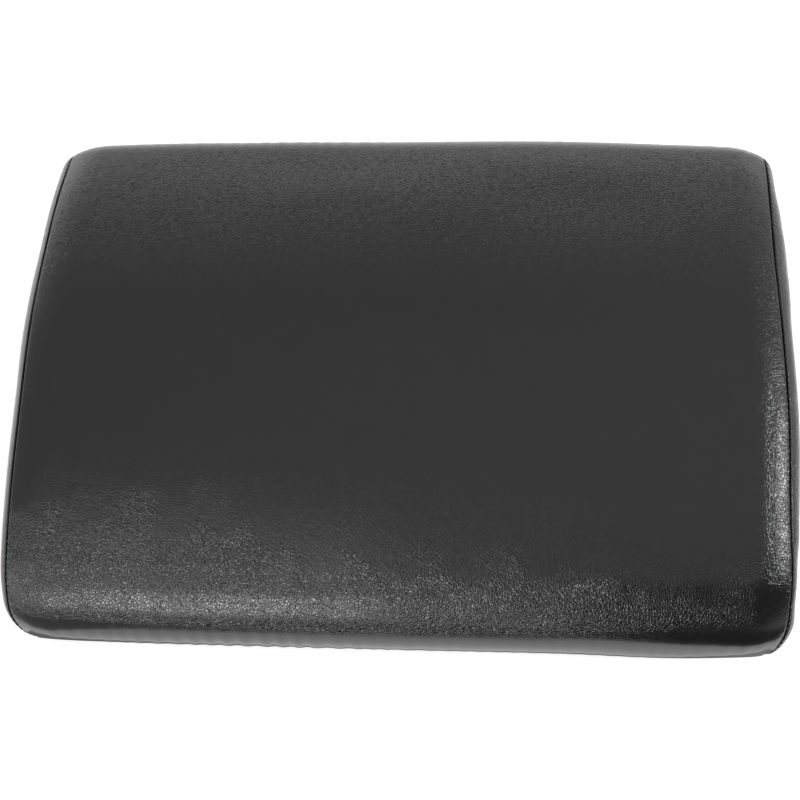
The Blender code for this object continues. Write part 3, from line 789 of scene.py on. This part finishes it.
def add_top_panel():
    turns = np.linspace(-1.0, 1.0, TOP_COLUMNS + 1)[1:-1]
    shares = 0.55 * turns + 0.45 * np.sin(turns * math.pi / 2)
    x, sunk = across_panel(half_width(RUN)[:, None], shares, SIDE_LIP)
    run = RUN[:, None] + 0.0 * x
    seam_distance = half_width(run) - np.abs(x)
    base = base_distance(run)
    flat = points_of(x, run, 0.0)
    calm = smooth(seam_distance / 0.030) * smooth(base / 0.025)
    near = 1.0 - smooth((run - 0.10) / 0.09)
    roll = smooth((x - 0.150) / 0.020) * (1.0 - smooth((run - 0.16) / 0.04))
    creased = smooth(seam_distance / 0.008) * np.clip(near + roll, 0.0, 1.0)
    creased *= smooth((base - HEM_WIDTH) / HEM_FADE)
    lift = swells(flat) * calm + creases(flat, creased) + gathers(x, np.maximum(base, 0.0), 51)
    grid = top_surface(run, x, lift)
    depth = sunk[:, None] + stitch_pull(run, seam_distance + sunk)[..., None]
    apart = seam_opening(run, sunk[None, :])[..., None]
    for side in (-1, 1):
        here = (np.sign(x) == side)[..., None]
        inward = mirrored(INWARD, side)[:, None, :]
        aside = mirrored(ASIDE, side)[:, None, :]
        grid += here * (inward * depth + aside * apart)
    for end in (-1, 1):
        here = ((RUN < OUTLINE_LENGTH / 2) == (end < 0))[:, None, None]
        grid += here * base_turn_in((0.0, end), RUN_SUNK[:, None, None], 1)
    margins = ((LIP_COUNT + 2, LIP_COUNT + 2), (LIP_COUNT + 1, LIP_COUNT + 1))
    panel = panel_shell("sewn_top_panel", hand_made(grid), (0.0, 0.0, 1.0), margins, LEATHER)
    declare(panel, "top_panel")


def add_side_panel(node, side):
    keep = plain_rows(0.0022)
    run = RUN[keep]
    inward, aside = INWARD[keep], ASIDE[keep]
    height = np.linalg.norm(side_surface(run, 1.0) - side_surface(run, 0.0), axis=-1)[:, None]
    lip = np.minimum(LIP, 0.3 * height)
    off_top, deep_top = SIDE_LIP
    off_base, deep_base = BASE_LIP
    shares = 0.5 - 0.5 * np.cos(math.pi * np.arange(1, SIDE_ROWS) / SIDE_ROWS)
    share = np.concatenate([np.zeros(LIP_COUNT), shares, np.ones(LIP_COUNT)])
    rest = len(shares) + LIP_COUNT
    from_top = np.pad(off_top / LIP - 1.0, (0, rest))
    from_base = np.pad(1.0 - off_base[::-1] / LIP, (rest, 0))
    sunk_top = np.pad(deep_top, (0, rest)) * lip / LIP
    sunk_base = np.pad(deep_base[::-1], (rest, 0)) * lip / LIP
    drop = lip + share * (height - 2 * lip) + from_top * lip + from_base * lip
    up = 1.0 - drop / height
    full = run[:, None] + 0.0 * up
    base_y = NEAR_Y + BASE_LENGTH * full / OUTLINE_LENGTH
    flat = points_of(base_y, up * height, side)
    calm = smooth(drop / 0.014) * smooth((height - drop) / 0.014)
    creased = 0.7 * smooth(drop / 0.006) * smooth((height - drop) / 0.004)
    lift = swells(flat + 0.31) * calm + creases(flat + 0.17, creased)
    lift += 0.4 * gathers(base_y, np.maximum(height - drop, 0.0), 53)
    slack = swell_sum(base_y, SIDE_SWELLS[side], flat=2)
    lift += slack * np.sin(math.pi * np.clip(up, 0.0, 1.0) ** 1.5)
    grid = side_surface(full, up, lift)
    depth = (sunk_top + stitch_pull(full, drop + sunk_top) * lip / LIP)[..., None]
    apart = seam_opening(full, sunk_top)[..., None]
    grid += inward[:, None, :] * depth
    grid -= aside[:, None, :] * apart
    grid += base_turn_in((1.0, 0.0), sunk_base[..., None], 1)
    grid = hand_made(mirrored(grid, side))
    margins = ((2, 2), (LIP_COUNT + 2, LIP_COUNT + 2))
    panel = panel_shell("sewn_" + node, grid, (side, 0.0, 0.0), margins, LEATHER)
    declare(panel, node)


def slot_edge(x):
    """Distance of an underside panel's edge from the zip's middle line."""
    closed = FIT_GAP / 2
    past = (np.abs(x) - ZIP_HALF - SLOT_OVERHANG) / SLOT_END
    return closed + (SLOT_HALF_WIDTH - closed) * (1.0 - smooth(past))


def add_underside(node, side):
    """The underside on one side of the zip: its hem at the slot, the valley, and the base seam."""
    reach = (ZIP_Y - NEAR_Y) if side < 0 else (FAR_Y - ZIP_Y)
    off, deep = BASE_LIP
    shares = np.sin(np.linspace(-0.5, 0.5, UNDERSIDE_COLUMNS + 1)[1:-1] * math.pi)
    x, sunk_x = across_panel(BASE_HALF_WIDTH, shares, BASE_LIP)

    hem = COVER_THICKNESS / 2
    turns = np.linspace(math.pi, 0.0, HEM_STEPS + 1)[:-1, None]
    count = int(reach / UNDERSIDE_STEP)
    part = np.arange(count + 1)[:, None] / count
    edge = slot_edge(x)
    folded = edge + hem * (1.0 - np.sin(turns))
    level = (edge + hem) * (1.0 - part) + (reach - LIP) * part
    turned_in = reach - off[::-1][1:, None] + 0.0 * x
    distance = np.concatenate([folded, level, turned_in])
    rise = np.pad(hem * (1.0 - np.cos(turns)), ((0, len(level) + len(turned_in)), (0, 0)))
    sunk_y = np.pad(deep[::-1][1:], (HEM_STEPS + len(level), 0))

    spread = x + 0.0 * distance
    y = ZIP_Y + side * distance
    flat = points_of(spread, y, 0.0)
    rest = np.minimum(reach - distance, BASE_HALF_WIDTH - np.abs(spread))
    dent = UNDERSIDE_DENT * (1.0 + space_noise(flat, UNDERSIDE_WAVE, 61))
    dent *= smooth(rest / 0.02) * smooth((distance - 0.03) / 0.02)
    dent -= creases(flat + 0.4, 0.6 * smooth(rest / 0.004) * smooth((distance - 0.012) / 0.01))
    grid = points_of(spread, y, valley(spread, distance) + rise + dent)
    for edge_side in (-1, 1):
        here = (np.sign(x) == edge_side)[None, :, None]
        grid += here * base_turn_in((edge_side, 0.0), sunk_x[None, :, None], -1)
    grid += base_turn_in((0.0, side), sunk_y[:, None, None], -1)
    margins = ((HEM_STEPS, LIP_COUNT + 1), (LIP_COUNT + 1, LIP_COUNT + 1))
    panel = panel_shell("sewn_" + node, hand_made(grid), (0.0, 0.0, -1.0), margins, LEATHER)
    declare(panel, node)


# Threads


def between(span, run, values):
    """What a path's values are at the given distances along it."""
    return np.stack([np.interp(span, run, values[:, k]) for k in range(3)], axis=-1)


def add_stitches(name, node, path, outward):
    """Stitches as separate short threads along a path; path holds four points to a stitch."""
    sides, rings = 6, 7
    points, faces = [], []
    run = np.pad(np.cumsum(np.linalg.norm(np.diff(path, axis=0), axis=1)), (1, 0))
    bow = 1.0 - np.linspace(-1.0, 1.0, rings) ** 2
    radii = STITCH_RADIUS * (0.45 + 0.55 * np.sqrt(bow))
    for stitch in range(int(run[-1] / STITCH_PITCH)):
        span = STITCH_PITCH * (stitch + 0.5 + STITCH_SHARE * np.linspace(-0.5, 0.5, rings))
        place = between(span, run, path)
        out = unit(between(span, run, outward))
        across = unit(np.cross(unit(np.gradient(place, axis=0)), out))
        place += out * (STITCH_RADIUS * bow[:, None])
        points.append(tube_rings(place, radii, across, out, sides).reshape(-1, 3))
        faces += tube_faces(rings, sides, stitch * rings * sides)
    item = add_mesh(name, np.concatenate(points), faces, THREAD)
    declare(item, node)


def add_side_stitches(name, side):
    keep = plain_rows(0.003)
    run = RUN[keep]
    seam = top_surface(run, half_width(run))
    path = mirrored(seam + INWARD[keep] * STITCH_DEPTH, side)
    names = name + "_seam_stitches", name + "_seam_thread"
    add_stitches(*names, hand_made(path), mirrored(-INWARD[keep], side))


def add_base_stitches():
    """Stitches in the base seam, all the way round."""
    inset = STITCH_DEPTH / math.sqrt(2)
    x, near, far = BASE_HALF_WIDTH - inset, NEAR_Y + inset, FAR_Y - inset
    corners = np.array([(-x, near), (x, near), (x, far), (-x, far), (-x, near)])
    path, outward = [], []
    for start, end in zip(corners[:-1], corners[1:]):
        count = int(np.linalg.norm(end - start) / ROW_STEP)
        facing = unit(np.array([end[1] - start[1], start[0] - end[0]]))
        path += [(*(start + (end - start) * step / count), inset) for step in range(count)]
        outward += [(*facing, -1.0)] * count
    path = hand_made(np.array(path))
    add_stitches("base_seam_stitches", "base_seam_thread", path, unit(np.array(outward)))


def add_zip_stitches(name, node, side):
    """The row of stitches that holds a zip tape, on the underside's outer face."""
    y = ZIP_Y + side * (SLOT_HALF_WIDTH + STITCH_SETBACK)
    x = np.arange(-TAPE_HALF_LENGTH, TAPE_HALF_LENGTH, ROW_STEP)
    z = VALLEY_HEIGHT - STITCH_RADIUS / 2
    add_stitches(name, node, points_of(x, y, z), np.tile((0.0, 0.0, -1.0), (len(x), 1)))


# Foam block

FOAM_RINGS = 130
FOAM_COLUMNS = 81
FOAM_WALL_STEPS = 14
FOAM_ROUGH = 0.0002
FOAM_SQUEEZE = 0.0030  # where the cover's seams press on it


def add_foam():
    """The foam block, with its edges softened where the seams press on it."""
    rows = np.linspace(LAYER, OUTLINE_LENGTH - LAYER, FOAM_RINGS)
    half = half_width(rows) - LAYER
    x = np.sin(np.linspace(-0.5, 0.5, FOAM_COLUMNS) * math.pi) * half[:, None]
    run = rows[:, None] + 0.0 * x
    rough = FOAM_ROUGH * space_noise(points_of(x, run, 0.0), 0.004, 71)
    squeeze = FOAM_SQUEEZE * np.exp(-(half[:, None] - np.abs(x)) / 0.004)
    top = top_surface(run, x, rough - LAYER - squeeze)
    top[..., 2] = np.maximum(top[..., 2], LAYER)

    foot_x = BASE_HALF_WIDTH - LAYER - 0.002
    foot_y = NEAR_Y + LAYER + (BASE_LENGTH - 2 * LAYER) * (rows - LAYER) / (rows[-1] - LAYER)
    foot_y = foot_y[:, None]
    share = np.linspace(1.0, 0.0, FOAM_WALL_STEPS)[1:-1]
    swell = np.maximum(SIDE_BULGE * rolled(base_distance(rows), BASE_FADE) - 0.0010, 0.0)
    bulge = swell[:, None] * (1.0 - (2.0 * share - 1.0) ** 4)
    edge_x, edge_y, edge_z = (top[:, -1, k, None] for k in range(3))
    wall = points_of(
        edge_x * share + foot_x * (1 - share) + bulge,
        edge_y * share + foot_y * (1 - share),
        LAYER + (edge_z - LAYER) * share,
    )
    under_x = np.linspace(foot_x, -foot_x, FOAM_COLUMNS)
    channel = VALLEY_HALF_FLAT + RELIEF_MARGIN + VALLEY_SLOPE
    lift = RELIEF_HEIGHT * smooth((channel - np.abs(foot_y - ZIP_Y)) / VALLEY_SLOPE)
    lift = lift * smooth((foot_x - np.abs(under_x)) / (foot_x - VALLEY_END_FLAT))
    under = points_of(under_x, foot_y, LAYER + lift)
    rings = np.concatenate([top, wall, under, mirrored(wall[:, ::-1], -1)], axis=1)
    faces = tube_faces(*rings.shape[:2], 0)
    points = hand_made(rings.reshape(-1, 3))
    block = add_mesh("shaped_foam_block", points, facing_out(points, faces), FOAM)
    declare(block, "foam_core")


# Zip

COIL_WIRE = 0.00031  # radius
COIL_PITCH = 0.00127
COIL_SQUARE = 0.8  # 1 for round turns, less for squarer ones
TAPE_SKIN = 0.00009  # height of the weave's ribs both ways
TAPE_RIB = 0.00004


def add_coil(name, node, side):
    """One row of the zip as its filament: a flattened helix that reaches for the other row."""
    low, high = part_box(node)
    wire, pitch = COIL_WIRE, COIL_PITCH
    per_turn, sides = 12, 6
    middle_y, middle_z = (low.y + high.y) / 2, (low.z + high.z) / 2
    reach_y, reach_z = (high.y - low.y) / 2 - wire, (high.z - low.z) / 2 - wire
    count = int((high.x - low.x - 2 * wire) / pitch * per_turn)
    angle = 2 * math.pi * np.arange(count) / per_turn
    x = low.x + wire + pitch * angle / (2 * math.pi)
    waves = np.cos(angle), np.sin(angle)
    flat, tall = (np.sign(wave) * np.abs(wave) ** COIL_SQUARE for wave in waves)
    shift = pitch / 2 if side > 0 else 0.0
    x = np.minimum(x + shift, high.x - wire)
    path = points_of(x, middle_y - side * reach_y * flat, middle_z + reach_z * tall)
    along = unit(np.gradient(path, axis=0))
    out = unit(points_of(0.0, -side * reach_y * flat, reach_z * tall))
    across = unit(np.cross(along, out))
    out = unit(np.cross(across, along))
    points = tube_rings(path, np.full(count, wire), across, out, sides).reshape(-1, 3)
    item = add_mesh(name, points, tube_faces(count, sides, 0), NYLON)
    declare(item, node)


def add_tape(name, node):
    """A woven tape: a thin closed strip with fine ribs across it."""
    low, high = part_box(node)
    count, ribs = 470, 17
    x = np.linspace(low.x, high.x, count)
    y = np.linspace(low.y, high.y, ribs)
    wave = TAPE_RIB * np.cos(np.arange(count) * math.pi)[:, None]
    cord = (TAPE_SKIN - TAPE_RIB) * np.cos(np.arange(ribs) * math.pi)[None, :]
    face = low.z + TAPE_SKIN + wave + cord
    bottom = points_of(x[:, None], y, face)
    thickness = high.z - low.z - 2 * TAPE_SKIN
    item = panel_shell(name, bottom, (0.0, 0.0, -1.0), ((1, 1), (1, 1)), TAPE, thickness, 3)
    declare(item, node)


def finish_metal():
    for name in ("slider", "pull", "top_stop_near", "top_stop_far", "bottom_stop"):
        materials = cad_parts["zip_" + name].data.materials
        materials.clear()
        materials.append(LACQUER)


# Stage, light and camera

SQUARE = ((-1, -1), (1, -1), (1, 1), (-1, 1))
WHITE = (1.0, 1.0, 1.0, 1.0)
FLOOR_HALF = 3.0
FLOOR_DROP = 0.0002  # below the mat
FLOOR_TONE = 0.55
FLOOR_GLOW = 0.72  # what the camera and the gloss see on top of the lit floor
FLOOR_GLOSS_GLOW = 0.20  # more of it, for the gloss alone
HORIZON_HEIGHT = 0.09  # sine of the elevation up to which the surround is brighter
HORIZON_SHADE = 1.5
SKY_SHADE = 0.62
CORNER_SHADE = 2.8  # more, low down in front on the left
CORNER_X = (-0.21, -0.075, 1.0, 0.0)  # where it ends, as parts of the direction
CORNER_Y = (-0.42, -0.12, 1.0, 0.0)
AMBIENT = 0.5

# Dark cards, which only the mat's gloss shows
# The contact card is a painted contact shadow: a dark ring on the floor round the mat's foot, which
# only the gloss shows
CONTACT_RIM = 0.0065  # the dark line where the mat meets the floor
CONTACT_Z = -0.0001
CONTACT_SHADOW_TONE = 0.45
LOW_CARD_Z = 0.002
LOW_CARD_TONES = (0.36, 0.02)  # left and right
LOW_CARD_SPAN = (-0.165, -0.075)  # X over which its tone changes
LOW_CARD_FAR_Y = -1.1
# The low card's edge on the mat's side: X, and how far from the near end
LOW_CARD_EDGE = (
    (-0.50, 0.014), (-0.175, 0.014), (-0.13, 0.035), (-0.04, 0.045),
    (0.09, 0.045), (0.14, 0.026), (0.19, 0.015), (0.60, 0.015),
)
SIDE_CARD_LEFT = SEAM_WIDTH / 2 + 0.040
SIDE_CARD_CORNERS = ((SIDE_CARD_LEFT, -0.6), (1.1, -0.6), (1.1, 0.5), (SIDE_CARD_LEFT, 0.5))
SIDE_CARD_TONE = 0.5
SIDE_CARD_Z = 0.003
TALL_CARD_TURNS = (9.5, 70.0)  # azimuths of its two ends
TALL_CARD_DISTANCE = 1.0
TALL_CARD_HEIGHTS = (0.004, 1.15)
BLACK = 0.004

# Lamps: name, azimuth, elevation, distance, width, height and radiance
SOFTBOXES = (
    ("front_softbox", -16.0, 17.0, 1.3, 0.42, 0.54, 10.5),
    ("right_softbox", 90.5, 32.0, 1.2, 0.60, 0.36, 20.0),
    ("top_softbox", 180.0, 80.0, 1.7, 1.5, 1.5, 0.08),
)


def backdrop_factor(nodes):
    """1 for the rays that should see the plain background."""
    seen = nodes.math("ADD", nodes.ray("Camera"), nodes.ray("Glossy"))
    return nodes.math("ADD", seen, nodes.ray("Transmission"), use_clamp=True)


def towards(azimuth, elevation):
    """A direction from the mat. Azimuth 0 is in front of the near end, 90 on the right."""
    turn, rise = math.radians(azimuth), math.radians(elevation)
    return Vector((math.sin(turn) * math.cos(rise), -math.cos(turn) * math.cos(rise), math.sin(rise)))


def make_world():
    """A soft even surround: white for the camera, and for gloss brightest near the horizon."""
    world = bpy.data.worlds.new("studio")
    bpy.context.scene.world = world
    nodes = Nodes(world)
    nodes.tree.nodes.clear()
    x, y, z = nodes.split(nodes.add("ShaderNodeTexCoord").outputs["Generated"])
    shade = nodes.step(z, 0.0, HORIZON_HEIGHT, HORIZON_SHADE, SKY_SHADE)
    corner = nodes.times(nodes.step(x, *CORNER_X), nodes.step(y, *CORNER_Y))
    shade = nodes.math("MULTIPLY_ADD", corner, CORNER_SHADE, shade)
    shade = nodes.math("MAXIMUM", shade, nodes.ray("Camera"))
    seen = nodes.add("ShaderNodeBackground", {"Color": WHITE, "Strength": shade})
    ambient = nodes.add("ShaderNodeBackground", {"Color": WHITE, "Strength": AMBIENT})
    surround = nodes.mix(backdrop_factor(nodes), ambient, seen)
    nodes.add("ShaderNodeOutputWorld", {"Surface": surround})


def add_floor():
    """A pale floor, white but for the mat's soft shadow, and clear when seen from below."""
    nodes = Nodes(bpy.data.materials.new("pale_floor"))
    glossy = nodes.times(nodes.ray("Glossy"), FLOOR_GLOSS_GLOW)
    look = {
        "Base Color": (FLOOR_TONE, FLOOR_TONE, FLOOR_TONE, 1.0),
        "Roughness": 0.9,
        "Emission Color": WHITE,
        "Emission Strength": nodes.math("MULTIPLY_ADD", backdrop_factor(nodes), FLOOR_GLOW, glossy),
    }
    material = nodes.finish(look)
    below = nodes.add("ShaderNodeNewGeometry").outputs["Backfacing"]
    shader = nodes.tree.nodes["Principled BSDF"]
    either = nodes.mix(below, shader, nodes.add("ShaderNodeBsdfTransparent"))
    nodes.set(nodes.tree.nodes["Material Output"], {"Surface": either})
    corners = np.array([(x * FLOOR_HALF, y * FLOOR_HALF, 0.0) for x, y in SQUARE])
    floor = add_mesh("floor", corners, [[0, 1, 2, 3]], material)
    floor.location.z = -FLOOR_DROP


def add_softbox(name, azimuth, elevation, distance, width, height, radiance):
    """A soft lamp that faces the mat."""
    direction = towards(azimuth, elevation)
    lamp = bpy.data.lights.new(name, "AREA")
    lamp.shape = "RECTANGLE"
    lamp.size, lamp.size_y = width, height
    lamp.energy = radiance * math.pi * width * height
    item = bpy.data.objects.new(name, lamp)
    item.location = direction * distance + Vector((0.0, 0.0, SEAM_HEIGHT / 2))
    item.rotation_euler = direction.to_track_quat("Z", "Y").to_euler()
    bpy.context.scene.collection.objects.link(item)


def add_card(name, corners, tone, right_tone=None, faces=None):
    """A dark card that only gloss shows; its tone may change from left to right."""
    nodes, where = start_material(name)
    colour = (tone, tone, tone, 1.0)
    if right_tone is not None:
        share = nodes.remap(nodes.split(where)["X"], *LOW_CARD_SPAN)
        colour = nodes.blend(share, (tone,) * 3, (right_tone,) * 3)
    material = nodes.finish({"Base Color": colour, "Roughness": 1.0, "Specular IOR Level": 0.0})
    card = add_mesh(name, np.array(corners), faces or [list(range(len(corners)))], material)
    for rays in ("camera", "diffuse", "shadow", "transmission"):
        setattr(card, "visible_" + rays, False)


def add_cards():
    # Painted contact shadow: a dark ring round the mat's foot, seen only in the gloss
    corners = []
    for rim in (CONTACT_RIM, -CONTACT_RIM / 2):
        for x, y in SQUARE:
            end = NEAR_Y - rim if y < 0 else FAR_Y + rim
            corners.append((x * (BASE_HALF_WIDTH + rim), end, CONTACT_Z))
    ring = [[side, (side + 1) % 4, 4 + (side + 1) % 4, 4 + side] for side in range(4)]
    add_card("contact_shadow_card", corners, CONTACT_SHADOW_TONE, faces=ring)
    corners = [(x, NEAR_Y - away, LOW_CARD_Z) for x, away in LOW_CARD_EDGE]
    corners += [(x, LOW_CARD_FAR_Y, LOW_CARD_Z) for x in (0.6, -0.5)]
    add_card("low_black_card", corners, *LOW_CARD_TONES)
    corners = [(x, y, SIDE_CARD_Z) for x, y in SIDE_CARD_CORNERS]
    add_card("side_grey_card", corners, SIDE_CARD_TONE)
    ends = [towards(turn, 0.0) * TALL_CARD_DISTANCE for turn in TALL_CARD_TURNS]
    low, high = TALL_CARD_HEIGHTS
    corners = [(*end.xy, low) for end in ends] + [(*end.xy, high) for end in reversed(ends)]
    add_card("tall_black_card", corners, BLACK)


# The photograph's camera, fitted to the mat's outline and seams
CAMERA_PLACE = (0.06179, -0.36458, 0.81474)
CAMERA_PITCH = 65.79
CAMERA_TURN = -10.17
CAMERA_ROLL = 8.46
CAMERA_LENS = 78.75


def add_camera():
    pitch, turn, roll = (math.radians(value) for value in (CAMERA_PITCH, CAMERA_TURN, CAMERA_ROLL))
    ahead = math.cos(pitch)
    forward = Vector((math.sin(turn) * ahead, math.cos(turn) * ahead, -math.sin(pitch)))
    level = Vector((math.cos(turn), -math.sin(turn), 0.0))
    down = forward.cross(level)
    right = level * math.cos(roll) + down * math.sin(roll)
    below = down * math.cos(roll) - level * math.sin(roll)
    data = bpy.data.cameras.new("camera")
    data.lens = CAMERA_LENS
    camera = bpy.data.objects.new("camera", data)
    rotation = Matrix((right, -below, -forward)).transposed().to_4x4()
    camera.matrix_world = Matrix.Translation(Vector(CAMERA_PLACE)) @ rotation
    bpy.context.scene.collection.objects.link(camera)
    bpy.context.scene.camera = camera


def main():
    add_top_panel()
    add_side_panel("left_side_panel", -1)
    add_side_panel("right_side_panel", 1)
    add_underside("base_panel", -1)
    add_underside("base_strip", 1)
    add_side_stitches("left", -1)
    add_side_stitches("right", 1)
    add_base_stitches()
    add_foam()
    for name, side in (("near", -1), ("far", 1)):
        add_zip_stitches("zip_stitches_" + name, "zip_stitching_" + name, side)
        add_coil("coil_filament_" + name, "zip_coil_" + name, side)
        add_tape("woven_tape_" + name, "zip_tape_" + name)
    finish_metal()
    make_world()
    add_floor()
    add_cards()
    for softbox in SOFTBOXES:
        add_softbox(*softbox)
    add_camera()
    bpy.context.scene.view_settings.view_transform = "Standard"


main()
